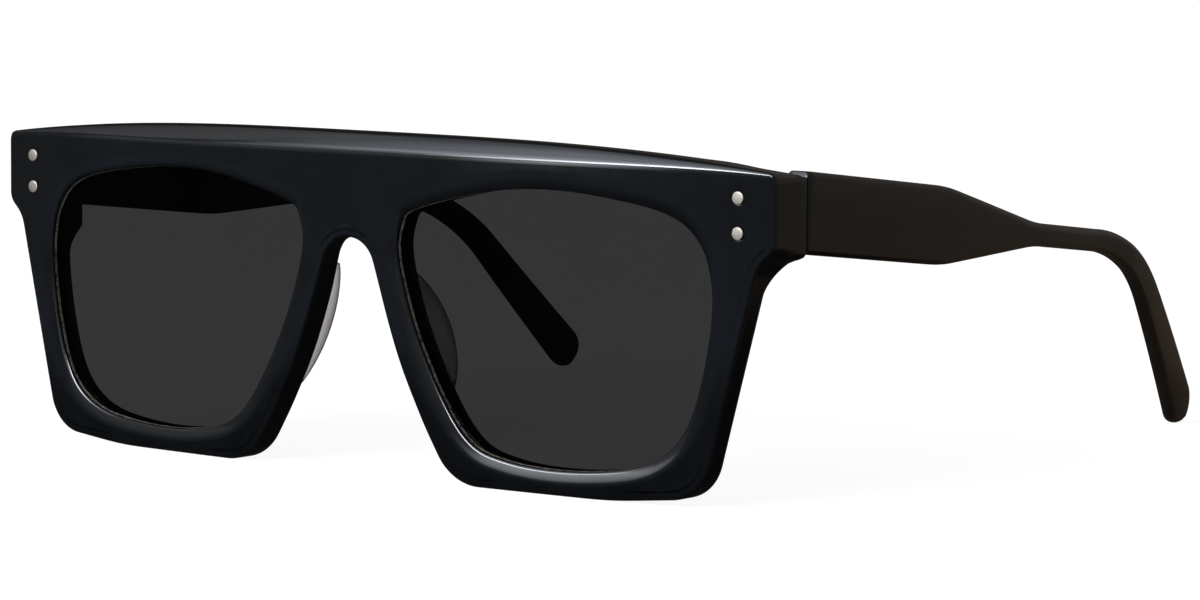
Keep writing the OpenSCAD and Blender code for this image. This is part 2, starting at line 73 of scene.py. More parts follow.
# Lens and its groove.
LENS_T, LENS_SET, BEVEL, FIT, GROOVE_GAP, BACK_LIP = 2.0, 1.3, 0.75, 0.05, 0.3, 0.4
# Temples.
TEMPLE_L, TEMPLE_T, PADDLE_H, PADDLE_L, TAPER_L, SHANK_H = 98.2, 3.6, 11.7, 37.4, 27.5, 3.55
SLOPE, TIP_SLOPE, BEND_R, TIP_H, TIP_T, BOW, TIP_IN = 6.1, 47, 33, 7.4, 2.5, 2.8, 6.3
TEMPLE_EDGE_R, SHANK_EDGE_R, END_CHAMFER = 0.9, 1.1, 0.15
# Rivets and their seats.
RIVET_X, RIVET_GAP, RIVET_R, SHANK_R, TAIL_R, TAIL_T = HALF_W - 5.9, 4.96, 0.98, 0.6, 0.9, 0.4
HEAD_T, HEAD_RIM_R, TAIL_CHAMFER, SEAT_R, SEAT_T = 0.75, 0.15, 0.08, RIVET_R + 0.1, 1.2
# Nose pads.
PAD_TOP, PAD_H, PAD_D, PAD_W, PAD_LEAN, PAD_IN = 4.6, 18.6, 5.4, 3.2, 0.42, 1.05
# Longest step between two sections of the front.
STEP = 0.8

# Knots of the lens opening, in hundredths of its width and height.
SHAPE = [
    (0.8, 68.6), (1.0, 83.7), (7.2, 90.8), (36.8, 99.3), (66.7, 98.3), (91.7, 89.9), (99.9, 66.3),
    (94.8, 25.5), (83.5, 6.7), (61.8, 0.5), (37.3, 1.5), (22.4, 10.1), (8.7, 39.1)]
KNOTS = np.array([(OPEN_L + a / 100 * LENS_W, BOTTOM_RIM + b / 100 * LENS_H) for a, b in SHAPE])


# Small helpers.
def mix(a, b, t):
    return a + (b - a) * t


def clamp(v, low=0.0, high=1.0):
    return max(low, min(high, v))


def smooth(v):
    s = clamp(v)
    return s * s * (3 - 2 * s)


def unit(v):
    v = np.asarray(v, float)
    return v / np.linalg.norm(v)


def left_of(v):
    return np.array([-v[1], v[0]])


def sag(x):
    """How far the swept front lies behind its middle at x."""
    return FRONT_R - math.sqrt(FRONT_R * FRONT_R - x * x)


def spline(a, b, c, d, t):
    """Catmull-Rom curve from b to c, with a before and d after them."""
    return 0.5 * (2 * b + (c - a) * t + (2 * a - 5 * b + 4 * c - d) * t * t
                  + (3 * b - a - 3 * c + d) * t ** 3)


def opening(u):
    """Edge of the lens opening. Whole u are its knots."""
    i = math.floor(u)
    return spline(*(KNOTS[(i + k) % len(KNOTS)] for k in (-1, 0, 1, 2)), u - i)


def tangent(u):
    return unit(opening(u + 0.01) - opening(u - 0.01))


COARSE = np.array([opening(k / 8) for k in range(8 * len(KNOTS))])


def nearest(p):
    """Place on the opening's edge that is nearest to p."""
    first = np.argmin(np.linalg.norm(COARSE - p, axis=1)) / 8
    low, high = first - 0.2, first + 0.2
    for _ in range(20):
        middle = (low + high) / 2
        if np.dot(p - opening(middle), tangent(middle)) > 0:
            low = middle
        else:
            high = middle
    return (low + high) / 2


def corner_arc(before, at, after, longest):
    """Points round the corner at, whose third number is its radius."""
    p, r = np.array(at[:2], float), at[2]
    a, b = unit(np.array(before[:2]) - p), unit(np.array(after[:2]) - p)
    half = math.acos(clamp(float(a @ b), -1, 1)) / 2
    side = np.sign(a[0] * b[1] - a[1] * b[0])
    centre = p + unit(a + b) * r / math.sin(half)
    turn = math.pi - 2 * half
    count = math.ceil(max(math.degrees(turn) / 5, r * turn / longest))
    start = p + a * r / math.tan(half) - centre
    heading = math.atan2(start[1], start[0])
    angles = [heading - side * turn * k / count for k in range(count + 1)]
    return [centre + r * np.array([math.cos(w), math.sin(w)]) for w in angles]


def rounded(corners, longest):
    """Line through the corners, each rounded by its own radius."""
    points = []
    for i, c in enumerate(corners):
        points += [np.array(c[:2], float)] if c[2] == 0 else corner_arc(
            corners[i - 1], c, corners[i + 1], longest)
    return points


def stretch(points, longest):
    """The same line with more points, so that no step is longer than that."""
    out = []
    for a, b in zip(points, points[1:]):
        count = math.ceil(np.linalg.norm(b - a) / longest - 0.01)
        out += [mix(a, b, k / count) for k in range(count)]
    return out + [points[-1]]


# Meshes.
def make(name, points, faces, side=1, sharp=40.0):
    """Mesh object from points in mm, mirrored for the right side, smooth with sharp edges kept."""
    bm = bmesh.new()
    verts = [bm.verts.new((side * p[0] * MM, (p[1] - MIDDLE_Y) * MM, p[2] * MM)) for p in points]
    for f in faces:
        bm.faces.new([verts[k] for k in (f if side > 0 else f[::-1])])
    bmesh.ops.remove_doubles(bm, verts=bm.verts, dist=2e-7)
    bmesh.ops.dissolve_degenerate(bm, edges=bm.edges, dist=1e-8)
    for f in bm.faces:
        f.smooth = True
    for e in bm.edges:
        e.smooth = len(e.link_faces) == 2 and e.calc_face_angle(0) < math.radians(sharp)
    return to_object(bm, name)


def to_object(bm, name):
    """Object in the scene from an edited mesh, which is freed."""
    mesh = bpy.data.meshes.new(name)
    bm.to_mesh(mesh)
    bm.free()
    obj = bpy.data.objects.new(name, mesh)
    bpy.context.scene.collection.objects.link(obj)
    return obj


def freeze(obj):
    """The result of the object's modifiers becomes its plain mesh."""
    bpy.context.view_layer.update()
    mesh = bpy.data.meshes.new_from_object(obj.evaluated_get(bpy.context.evaluated_depsgraph_get()))
    obj.modifiers.clear()
    mesh.name = obj.name
    obj.data = mesh


def tube(rings, closed=False):
    """Points and faces over rings of equal length, with a fan at each open end."""
    size, rows = len(rings[0]), len(rings)
    points = [p for ring in rings for p in ring]
    faces = []
    for i in range(rows if closed else rows - 1):
        n = (i + 1) % rows
        for j in range(size):
            k = (j + 1) % size
            faces.append((i * size + j, n * size + j, n * size + k, i * size + k))
    if not closed:
        points += [np.mean(rings[0], axis=0), np.mean(rings[-1], axis=0)]
        last = (rows - 1) * size
        for j in range(size):
            k = (j + 1) % size
            faces.append((len(points) - 2, j, k))
            faces.append((len(points) - 1, last + k, last + j))
    return points, faces


def bezier(a, b, c, count):
    """Points on the quadratic curve from a to c that leaves and arrives towards b."""
    return [(1 - t) ** 2 * a + 2 * t * (1 - t) * b + t * t * c for t in np.linspace(0, 1, count)]


# Front.
def brow(x):
    """Height of the brow's upper edge."""
    return BROW_Z - BROW_DROP * (x / HALF_W) ** 3


def facet_line(x):
    """Height of the edge between the brow facet and the flat front."""
    return BROW_Z - FACET_H - 0.25 * BROW_DROP * (x / HALF_W) ** 8


def lug_share(x, z):
    """How far a place belongs to the end piece, whose back stands further out than the rims."""
    low = LUG_Z - LUG_LOW - LUG_LEAN * (HALF_W - BROW_END - x)
    return smooth((x - HALF_W + LUG_REACH) / LUG_FADE) * clamp((z - low) / LUG_RISE) ** 1.8


def back(p):
    """Depth of the back of the front at a place."""
    return mix(sag(p[0]) + RIM_D, LUG_BACK, lug_share(p[0], p[1]))


def fallen(p, y, share):
    """The end piece falls backwards with the slope of the temples."""
    drop = max(0, y - sag(p[0]) - 0.3 * RIM_D) * math.tan(math.radians(SLOPE))
    return np.array([p[0], y, p[1] - share * drop])


def swollen(p):
    """The rim beside the nose swells a little towards it, halfway down."""
    low, high = NASAL_SWELL_Z
    share = math.sin(math.pi * clamp((p[1] - low) / (high - low))) ** 1.5
    return np.array([p[0] - (NASAL_SWELL * share if p[0] < NASAL_END else 0), p[1]])


def front_outline():
    """Half of the front's outline: brow, end piece, rim and arch. Corners are x, z and radius."""
    bow = (OPEN_L + 0.13 * LENS_W - NASAL_RIM, BOTTOM_RIM + 0.22 * LENS_H, NASAL_BOW_R)
    far = (bow[0], bow[1] - ARCH_Z + ARCH_R)
    turn = math.pi / 2 - math.atan2(far[1], far[0]) - math.acos(ARCH_R / math.hypot(*far))
    corners = [(x, brow(x), 0) for x in np.linspace(0, HALF_W - BROW_END, 90)]
    corners += [
        (HALF_W, brow(HALF_W), BROW_CORNER_R), (HALF_W, LUG_Z, LUG_CORNER_R),
        (HALF_W + LUG_NECK[0], LUG_Z + LUG_NECK[1], LUG_NECK_R),
        (OPEN_R + OUTER_CORNER[0] + SIDE_RIM, OUTER_CORNER[1], OUTER_CORNER_R),
        (OPEN_L + 0.7 * LENS_W, 0, BOTTOM_BOW_R),
        (OPEN_L + 0.271 * LENS_W - NASAL_RIM, 0, INNER_CORNER_R), bow,
        (ARCH_R * math.tan(turn / 2), ARCH_Z, ARCH_R), (-ARCH_R, ARCH_Z, 0)]
    points = stretch(rounded(corners, STEP), STEP)
    points = [swollen(p) for p in points if p[0] > 0.01 or p[1] > ARCH_Z + 1]
    return points + [np.array([0.0, ARCH_Z])]


OUTLINE = front_outline()
BRIDGE = [np.array([0.0, z]) for z in np.linspace(ARCH_Z, BROW_Z - FACET_H - 0.9, 13)[1:-1]]
# The front has one section at each spoke: round the outline, then up the middle of the bridge.
SPOKES = OUTLINE + BRIDGE
# From the opening's edge into the hollow: distance out from the edge, and depth below the hollow.
LIP = ((0, 0.16), (0.02, 0.07), (0.07, 0.02))


def edge_profile(inset, drop, facet):
    """From the flat front over the edge to the wall, as (distance in from the outline, depth)."""
    turns = np.linspace(0, math.pi / 2, 11)
    arc = [np.array([inset + w, 0.0]) for w in (1.3, 0.9)]
    arc += [np.array([inset * (1 - math.sin(w)), drop * (1 - math.cos(w))]) for w in turns]
    arc += [np.array([0.0, drop + 0.4])]
    b, c = np.array([inset, 0.0]), np.array([0.0, drop])
    length = np.linalg.norm(c - b)
    along = (c - b) / length
    low = [b + [0.75, 0]] + bezier(b + [0.5, 0], b, b + along * min(1.1, 0.45 * length), 7)
    high = bezier(c - along * min(0.4, 0.25 * length), c, c + [0, 0.4], 5)
    middle = mix(b, c, 0.6) + np.array([0.03, -0.06]) * min(1, length / 3) ** 2
    return [mix(p, q, facet) for p, q in zip(arc, low + [middle] + high)]


PROFILE_POINTS = len(edge_profile(1, 1, 0))


def inside(o, out, inward):
    """Place that far in from the outline. Past the corner radius it goes straight down,
    so that corners don't fold."""
    along = min(inward, 0.9 * BROW_CORNER_R)
    return o - out * along - np.array([0.0, inward - along])


def outward(i):
    """Direction out of the acetate at a spoke, straight up or down on the middle plane."""
    if i == 0:
        return np.array([0.0, 1.0])
    if i >= len(OUTLINE) - 1:
        return np.array([0.0, -1.0])
    return unit(left_of(SPOKES[i + 1] - SPOKES[i - 1]))


def back_radius(o, out, facet, lug):
    """Radius of the back edge: plain, softer at the side and beside the nose, crisp at the lug."""
    side_r = mix(PLAIN_BACK_R, BACK_R, out[0] ** 2)
    if out[0] <= 0:
        nasal = mix(NASAL_BACK_R, ARCH_BACK_R, smooth((ARCH_R + 2 - o[0]) / ARCH_R))
        side_r = mix(PLAIN_BACK_R, nasal, smooth((NASAL_END - o[0]) / 8) * (1 - facet))
    return mix(side_r, LUG_EDGE_R, lug)


def back_and_groove(c, away, base, outer):
    """Last part of a section: the flat back from outer to the opening, its rounded lip, and the
    groove that holds the lens."""
    inner = c + away * BACK_LIP
    points = []
    for k in range(1, 5):
        p = mix(outer, inner, k / 5)
        points.append(np.array([p[0], back(mix(base, inner, k / 5)), p[1]]))
    for w in np.radians((0, 30, 60, 90)):
        p = inner - away * BACK_LIP * math.sin(w)
        points.append(np.array([p[0], back(p) - BACK_LIP * (1 - math.cos(w)), p[1]]))
    for grow, depth in ((0, LENS_T - GROOVE_GAP), (BEVEL + FIT, LENS_T / 2), (0, GROOVE_GAP)):
        p = c + away * grow
        points.append(np.array([p[0], sag(c[0]) + LENS_SET + depth, p[1]]))
    return points


def on_front(p, depth=0.0):
    """Point on the swept front, or that deep behind it."""
    return np.array([p[0], sag(p[0]) + depth, p[1]])


def hollow(c, away):
    """First part of a section: from the opening's edge over its lip through the hollow."""
    rows = list(LIP) + [(w, 0) for w in np.linspace(0.16, 1, 10) * SCOOP_W]
    return [on_front(c + away * w, SCOOP_D * (1 - w / SCOOP_W) ** 2 + extra) for w, extra in rows]


def middle_part(o, start):
    """Middle of a section that ends on the middle plane, with as many points as an edge has."""
    points = [on_front(mix(start, o, k / 4)) for k in range(1, 4)]
    points += [on_front(o)] * PROFILE_POINTS
    points += [np.array([o[0], mix(sag(o[0]), back(o), k / 4), o[1]]) for k in range(1, 4)]
    return points + [np.array([o[0], back(o), o[1]])] * 7


def edge_part(o, out, start, facet, lug, back_r):
    """Middle of a section: flat front, edge or facet, wall and rounded back edge."""
    inset = mix(EDGE_R, o[1] - facet_line(o[0]), facet)
    drop = mix(EDGE_R, inset * FACET_D / FACET_H, facet)
    profile = edge_profile(inset, drop, facet)
    room = 0.93 * np.linalg.norm(o - start)
    end = inside(o, out, min(profile[0][0], room))
    points = [on_front(mix(start, end, k / 4)) for k in range(1, 4)]
    points += [on_front(inside(o, out, min(inward, room)), depth) for inward, depth in profile]
    flare = np.zeros(2)
    if o[1] <= HINGE_Z:
        flare[0] = (HALF_W - o[0]) * smooth((o[1] - LUG_Z + 2.3) / 1.4) * lug
    fall = facet * lug
    high = fallen(o + flare, back(o) - back_r, fall)
    points += [mix(on_front(o, profile[-1][1]), high, k / 4) for k in range(1, 4)]
    for w in np.linspace(0, math.pi / 2, 7):
        p = o - out * back_r * (1 - math.cos(w))
        points.append(fallen(p + flare, back(p) - back_r * (1 - math.sin(w)), fall))
    return points


def section(i):
    """One closed section of the front: from the lens over the hollow, the flat front, the edge
    and the back to the lens groove."""
    o, out = SPOKES[i], outward(i)
    u = nearest(o)
    c, away = opening(u), left_of(tangent(u))
    start = c + away * SCOOP_W
    if i >= len(OUTLINE):
        base, middle = o, middle_part(o, start)
    else:
        facet, lug = smooth(1.6 * out[1] - 0.5), lug_share(o[0], o[1])
        back_r = back_radius(o, out, facet, lug)
        base, middle = o - out * back_r, edge_part(o, out, start, facet, lug, back_r)
    return hollow(c, away) + middle + back_and_groove(c, away, base, middle[-1][[0, 2]])


def acetate_front():
    """The whole front: the sections of one half skinned and mirrored, open nowhere. Faces on the
    middle plane itself are left out."""
    rows = [section(i) for i in range(len(SPOKES))]
    size = len(rows[0])
    points, faces = [p for row in rows for p in row], []
    for i in range(len(rows)):
        n = (i + 1) % len(rows)
        for j in range(size):
            k = (j + 1) % size
            quad = (i * size + j, i * size + k, n * size + k, n * size + j)
            if max(abs(points[q][0]) for q in quad) > 1e-4:
                faces.append(quad)
    mirror = [np.array([-p[0], p[1], p[2]]) for p in points]
    faces += [tuple(q + len(points) for q in quad[::-1]) for quad in faces]
    return make("front_acetate", points + mirror, faces)


def cut_rivet_seats(obj):
    """Round seats for the rivet heads, a hair wider than the heads, cut into the acetate."""
    bm = bmesh.new()
    for side in (-1, 1):
        for up in (-1, 1):
            at = (side * RIVET_X * MM, (sag(RIVET_X) - MIDDLE_Y) * MM,
                  (HINGE_Z + up * RIVET_GAP / 2) * MM)
            place = Matrix.Translation(at) @ Matrix.Rotation(math.pi / 2, 4, "X")
            bmesh.ops.create_cone(bm, cap_ends=True, segments=64, radius1=SEAT_R * MM,
                                  radius2=SEAT_R * MM, depth=SEAT_T * MM, matrix=place)
    cutter = to_object(bm, "seat_cutter")
    mod = obj.modifiers.new("seats", "BOOLEAN")
    mod.object, mod.operation, mod.solver = cutter, "DIFFERENCE", "EXACT"
    freeze(obj)
    bpy.data.objects.remove(cutter)


# Lenses.
def lens_ring(grow, share, depth):
    """Ring of the opening's shape, grown outwards and then drawn in to its share, at a depth."""
    centre = np.array([(OPEN_L + OPEN_R) / 2, BOTTOM_RIM + LENS_H / 2])
    ring = []
    for u in np.linspace(0, len(KNOTS), 260, endpoint=False):
        p = mix(centre, opening(u) + left_of(tangent(u)) * grow, share)
        ring.append(np.array([p[0], sag(p[0]) + depth, p[1]]))
    return ring


def lens(name, side):
    """Lens as thick as its node, with a bevel all round that sits in the groove."""
    shares = [0.04, 0.2, 0.4, 0.6, 0.8, 0.94, 1]
    land = GROOVE_GAP + 0.1
    rings = [lens_ring(-FIT, s, LENS_SET) for s in shares]
    rings += [lens_ring(-FIT, 1, LENS_SET + land), lens_ring(BEVEL, 1, LENS_SET + LENS_T / 2),
              lens_ring(-FIT, 1, LENS_SET + LENS_T - land)]
    rings += [lens_ring(-FIT, s, LENS_SET + LENS_T) for s in shares[::-1]]
    return make(name, *tube(rings), side=side)


# Sleeve on the lens edge: distance out from the opening, and depth. The pale lines, a painted
# highlight of the polished groove wall, lie between two depths each.
EDGE_ROWS = ((-0.01, 0.62), (-0.03, 0.78), (-0.05, 0.96), (-0.06, 1.04), (-0.08, 1.2), (-0.1, 1.3),
             (-0.01, 1.3))
HIGHLIGHT_LINES = ((0.78, 0.96), (1.04, 1.2))


def lens_edge(name, side):
    """Sleeve on the lens edge in its groove, seen along the acetate wall, with painted highlight
    lines.
    """
    return make(name, *tube([lens_ring(g, 1, d) for g, d in EDGE_ROWS], closed=True), side=side)


# Temples. LINE is the middle line from the hinge to the tip, as Y and Z, TRAVEL the way along it.
TEMPLE_Y, TEMPLE_Z = LUG_BACK + 0.15, HINGE_Z + 0.25
SLOPES = math.radians(SLOPE), math.radians(TIP_SLOPE)
BEND_AT = np.array([TEMPLE_Y + TEMPLE_L * math.cos(SLOPES[0]),
                    TEMPLE_Z - TEMPLE_L * math.sin(SLOPES[0])])
TIP_END = np.array([BEND_AT[0] + (BEND_AT[1] - TIP_H / 2) / math.tan(SLOPES[1]), TIP_H / 2])
LINE = stretch(rounded([(TEMPLE_Y, TEMPLE_Z, 0), (*BEND_AT, BEND_R), (*TIP_END, 0)], 1), 1.2)
TRAVEL = np.concatenate([[0], np.cumsum([np.linalg.norm(b - a) for a, b in zip(LINE, LINE[1:])])])
BEND_S = TEMPLE_L - BEND_R * math.tan((SLOPES[1] - SLOPES[0]) / 2)


def eased(v, ease=3.0):
    """0 before, v after, with a soft start between -ease and ease."""
    return 0 if v < -ease else v if v > ease else (v + ease) ** 2 / 4 / ease


def half_height(s):
    """Half the temple's height at the way s along its middle line."""
    taper = (eased(s - PADDLE_L) - eased(s - PADDLE_L - TAPER_L)) / TAPER_L
    share = clamp((s - BEND_S) / (TRAVEL[-1] - BEND_S))
    return (mix(PADDLE_H, SHANK_H, taper) + (TIP_H - SHANK_H) * share) / 2


def thickness(s):
    """Thickness of the temple at the way s along its middle line."""
    return mix(TEMPLE_T, TIP_T, smooth((s - BEND_S + 20) / 26))


def inward(y):
    """How far the temple has bent towards the head."""
    straight = BEND_AT[0] - 1 - TEMPLE_Y
    past = max(0, y - TEMPLE_Y - straight)
    return BOW * ((y - TEMPLE_Y) / straight) ** 2 + TIP_IN * (past / 40) ** 1.3


def temple_ring(at, up, h, t, r, x):
    """Rounded rectangle across the temple: half height h, half thickness t, corner radius r."""
    ring = []
    for a, b in ((1, 1), (-1, 1), (-1, -1), (1, -1)):
        for k in range(7):
            w = math.radians((k if a * b > 0 else 6 - k) * 15)
            rise, wide = a * (h - r + r * math.cos(w)), b * (t - r + r * math.sin(w))
            ring.append(np.array([x + wide, at[0] + up[0] * rise, at[1] + up[1] * rise]))
    return ring


def temple(name, side):
    """Temple as rings across its middle line, with a chamfered end at the hinge and a round tip."""
    rings = []
    for i, at in enumerate(LINE):
        s, h = TRAVEL[i], half_height(TRAVEL[i])
        ahead = LINE[min(i + 1, len(LINE) - 1)]
        up = np.array([0.0, 1.0]) if i == 0 else left_of(unit(ahead - LINE[i - 1]))
        r = mix(TEMPLE_EDGE_R, SHANK_EDGE_R, clamp((s - PADDLE_L) / TAPER_L))
        x = HALF_W - TEMPLE_T / 2 - inward(at[0])
        if i == 0:
            rings.append(temple_ring(at, up, h - END_CHAMFER, thickness(s) / 2 - END_CHAMFER,
                                     r - END_CHAMFER, x))
            at = at + END_CHAMFER * np.array([1, -0.1])
        rings.append(temple_ring(at, up, h, thickness(s) / 2, r, x))
    way = unit(TIP_END - BEND_AT)
    for turn in (9, 18, 27, 36, 45, 54, 62, 70, 76, 82, 86):
        w = math.radians(turn)
        at = TIP_END + way * TIP_H / 2 * math.sin(w)
        h, t = TIP_H / 2 * math.cos(w), TIP_T / 2 * (0.4 + 0.6 * math.cos(w))
        x = HALF_W - TEMPLE_T / 2 - inward(at[0]) + TIP_T / 2 - t
        rings.append(temple_ring(at, left_of(way), h, t, min(SHANK_EDGE_R, 0.9 * h, 0.9 * t), x))
    return make(name, *tube(rings), side=side, sharp=50)


# Nose pads.
def nose_pad(name, side):
    """Crescent behind the rim: flat against it, with its edge leaning towards the lens."""
    walls = sorted((p[1], p[0]) for p in OUTLINE
                   if p[0] < OPEN_L + 0.2 * LENS_W and 1 < p[1] < ARCH_Z - 0.5)
    zs, xs = zip(*walls)
    rings = []
    for t in np.linspace(0, 1, 48):
        z = ARCH_Z - PAD_TOP - PAD_H * t
        swell = math.sin(math.radians(6 + 168 * t)) ** 0.54
        d, w = PAD_D * swell, PAD_W * (0.55 + 0.45 * swell)
        tip = PAD_LEAN * d
        x, y = float(np.interp(z, zs, xs)) + PAD_IN, RIM_D + FIT
        corners = [(0, 0), (0.2 * tip, 0.45 * d), (0.58 * tip, 0.84 * d), (tip, d),
                   (tip + 0.25 * w, 0.93 * d), (mix(w, tip + 0.4 * w, 0.6), 0.55 * d), (w, 0)]
        corners = [np.array(c) for c in corners]
        ring = []
        for k in range(len(corners) - 1):
            a, b, c, e = (corners[clamp(k + m, 0, len(corners) - 1)] for m in (-1, 0, 1, 2))
            for v in np.linspace(0, 1, 5, endpoint=False):
                ring.append(spline(a, b, c, e, v))
        ring.append(corners[-1])
        rings.append([np.array([x + p[0], y + p[1] + sag(x), z]) for p in ring])
    return make(name, *tube(rings), side=side, sharp=60)


# Rivets.
def one_rivet():
    """Rings of a lathed rivet at height 0: rounded head, shank through the end piece, tail."""
    low, high = (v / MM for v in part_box("rivets_left"))
    front, tail = low.y + MIDDLE_Y, high.y + MIDDLE_Y
    profile = [(0.1, front)]
    profile += [(RIVET_R + HEAD_RIM_R * (math.sin(w) - 1), front + HEAD_RIM_R * (1 - math.cos(w)))
                for w in np.linspace(0, math.pi / 2, 6)]
    profile += [(RIVET_R, front + HEAD_T), (SHANK_R, front + HEAD_T), (SHANK_R, tail - TAIL_T),
                (TAIL_R, tail - TAIL_T), (TAIL_R, tail - TAIL_CHAMFER),
                (TAIL_R - TAIL_CHAMFER, tail), (0.1, tail)]
    turns = np.linspace(0, 2 * math.pi, 48, endpoint=False)
    return [[np.array([RIVET_X + r * math.cos(w), y, r * math.sin(w)]) for w in turns]
            for r, y in profile]


def rivet_tree():
    """Geometry Nodes: repeats the given rivet on a line upwards from First Height."""
    tree = bpy.data.node_groups.new("rivet_row", "GeometryNodeTree")
    for name, kind in (("Geometry", "Geometry"), ("Count", "Int"), ("First Height", "Float"),
                       ("Spacing", "Float")):
        tree.interface.new_socket(name, in_out="INPUT", socket_type=f"NodeSocket{kind}")
    tree.interface.new_socket("Geometry", in_out="OUTPUT", socket_type="NodeSocketGeometry")
    given = add(tree, "NodeGroupInput").outputs
    start = add(tree, "ShaderNodeCombineXYZ", {"Z": given["First Height"]})
    step = add(tree, "ShaderNodeCombineXYZ", {"Z": given["Spacing"]})
    line = add(tree, "GeometryNodeMeshLine",
               {"Count": given["Count"], "Start Location": start, "Offset": step})
    row = add(tree, "GeometryNodeInstanceOnPoints", {"Points": line, "Instance": given["Geometry"]})
    real = add(tree, "GeometryNodeRealizeInstances", [row])
    painted = add(tree, "GeometryNodeSetMaterial", {"Geometry": real, "Material": nickel})
    add(tree, "NodeGroupOutput", [painted])
    return tree


def rivet_row(name, side, tree):
    """The two rivets of one side as a plain mesh."""
    obj = make(name, *tube(one_rivet()), side=side)
    mod = obj.modifiers.new("row", "NODES")
    mod.node_group = tree
    sockets = {item.name: item.identifier for item in tree.interface.items_tree
               if item.in_out == "INPUT"}
    mod[sockets["Count"]] = 2
    mod[sockets["First Height"]] = (HINGE_Z - RIVET_GAP / 2) * MM
    mod[sockets["Spacing"]] = RIVET_GAP * MM
    freeze(obj)
    return obj


# Materials.
def colour(code):
    """Hex sRGB colour as the linear numbers that a socket takes."""
    parts = [int(code[k:k + 2], 16) / 255 for k in (1, 3, 5)]
    return [(c / 12.92 if c <= 0.04045 else ((c + 0.055) / 1.055) ** 2.4) for c in parts] + [1.0]


def add(tree, kind, sockets=(), **settings):
    """Adds a node. Settings are its properties, and sockets its inputs, by name or in order. An
    input gets a value, a hex colour, another node's output, or a node for its first output."""
    node = tree.nodes.new(kind)
    for name, value in settings.items():
        setattr(node, name, value)
    inputs = [socket for socket in node.inputs if socket.enabled]
    if isinstance(sockets, dict):
        inputs = [next(socket for socket in inputs if socket.name == name) for name in sockets]
        sockets = sockets.values()
    for socket, value in zip(inputs, sockets):
        if isinstance(value, bpy.types.Node):
            value = next(output for output in value.outputs if output.enabled)
        if isinstance(value, bpy.types.NodeSocket):
            tree.links.new(value, socket)
        else:
            socket.default_value = colour(value) if isinstance(value, str) else value
    return node


def empty_tree(owner):
    """Node tree of a material, world or lamp, with nothing in it yet."""
    owner.use_nodes = True
    owner.node_tree.nodes.clear()
    return owner.node_tree


def new_material(name):
    """Material with an empty tree, and the place on the piece that its patterns read."""
    material = bpy.data.materials.new(name)
    tree = empty_tree(material)
    return material, tree, add(tree, "ShaderNodeTexCoord").outputs["Object"]


def blotches(tree, place, size_mm, detail=3.0, squeeze=(1, 1, 1)):
    """Soft noise, 0 to 1, whose patches are size_mm across, and less where an axis is squeezed."""
    spot = add(tree, "ShaderNodeMapping", {"Vector": place, "Scale": squeeze})
    return add(tree, "ShaderNodeTexNoise",
               {"Vector": spot, "Scale": 1 / (size_mm * MM), "Detail": detail})


def specks(tree, place, cell_mm, radius_mm, share):
    """Grains of dust: one per cell in a share of the cells, 1 inside a grain. Real dust is finer,
    and these are drawn about 0.15 mm across so that they show."""
    cells = add(tree, "ShaderNodeTexVoronoi", {"Vector": place, "Scale": 1 / (cell_mm * MM)})
    radius = radius_mm / cell_mm
    near = add(tree, "ShaderNodeMapRange", [cells, radius, 0.4 * radius])
    chosen = add(tree, "ShaderNodeMapRange", [cells.outputs["Color"], 1 - share, 1 - share + 0.01])
    return add(tree, "ShaderNodeMath", [near, chosen], operation="MULTIPLY")


def faded(tree, value, low, high, first, second):
    """Colour that goes from first to second as the value goes from low to high."""
    share = add(tree, "ShaderNodeMapRange", [value, low, high])
    return add(tree, "ShaderNodeMix", [share, first, second], data_type="RGBA")


def acetate(name, deep, pale, rough, dust):
    """Cellulose acetate: near black, with faint clouds, polishing hairlines and grains of dust.
    The hairlines are drawn much coarser than real ones, so that they show."""
    material, tree, place = new_material(name)
    base = faded(tree, blotches(tree, place, 7), 0.3, 0.7, deep, pale)
    grains = specks(tree, place, 3.1, 0.07, dust)
    thin = add(tree, "ShaderNodeMath", [grains, 0.7], operation="MULTIPLY")
    dusty = add(tree, "ShaderNodeMix", [thin, base, "#8d8f93"], data_type="RGBA")
    lines = blotches(tree, place, 1.6, 2, (9, 0.35, 1))
    hairlines = add(tree, "ShaderNodeMapRange", [lines, 0.62, 0.8, 0, 0.13])
    matt_dust = add(tree, "ShaderNodeMath", [grains, 0.5], operation="MULTIPLY")
    marks = add(tree, "ShaderNodeMath", [hairlines, matt_dust], operation="MAXIMUM")
    polish = add(tree, "ShaderNodeMapRange",
                 [blotches(tree, place, 2.5), 0.25, 0.75, rough * 0.85, rough * 1.15])
    roughness = add(tree, "ShaderNodeMath", [polish, marks], operation="MAXIMUM")
    waves = blotches(tree, place, 0.35, 2)
    bump = add(tree, "ShaderNodeBump",
               {"Height": waves, "Strength": 0.14, "Distance": 0.003 * MM})
    shader = add(tree, "ShaderNodeBsdfPrincipled",
                 {"Base Color": dusty, "Roughness": roughness, "IOR": 1.49, "Normal": bump})
    add(tree, "ShaderNodeOutputMaterial", [shader])
    return material


def tinted_lens(name):
    """Sun lens that is see-through by its tint, with faint cleaning haze and grains of dust."""
    material, tree, place = new_material(name)
    haze = add(tree, "ShaderNodeMapRange", [blotches(tree, place, 14), 0.3, 0.7])
    base = add(tree, "ShaderNodeMix", [haze, "#000000", "#020202"], data_type="RGBA")
    grains = specks(tree, place, 6.5, 0.08, 0.12)
    thin = add(tree, "ShaderNodeMath", [grains, 0.4], operation="MULTIPLY")
    dusty = add(tree, "ShaderNodeMix", [thin, base, "#77777a"], data_type="RGBA")
    roughness = add(tree, "ShaderNodeMapRange", [haze, 0, 1, 0.03, 0.06])
    tint = add(tree, "ShaderNodeMapRange", [haze, 0, 1, 0.818, 0.821])
    shader = add(tree, "ShaderNodeBsdfPrincipled", {
        "Base Color": dusty, "Roughness": roughness, "Alpha": tint, "IOR": 1.5,
        "Specular IOR Level": 0.04})
    add(tree, "ShaderNodeOutputMaterial", [shader])
    return material


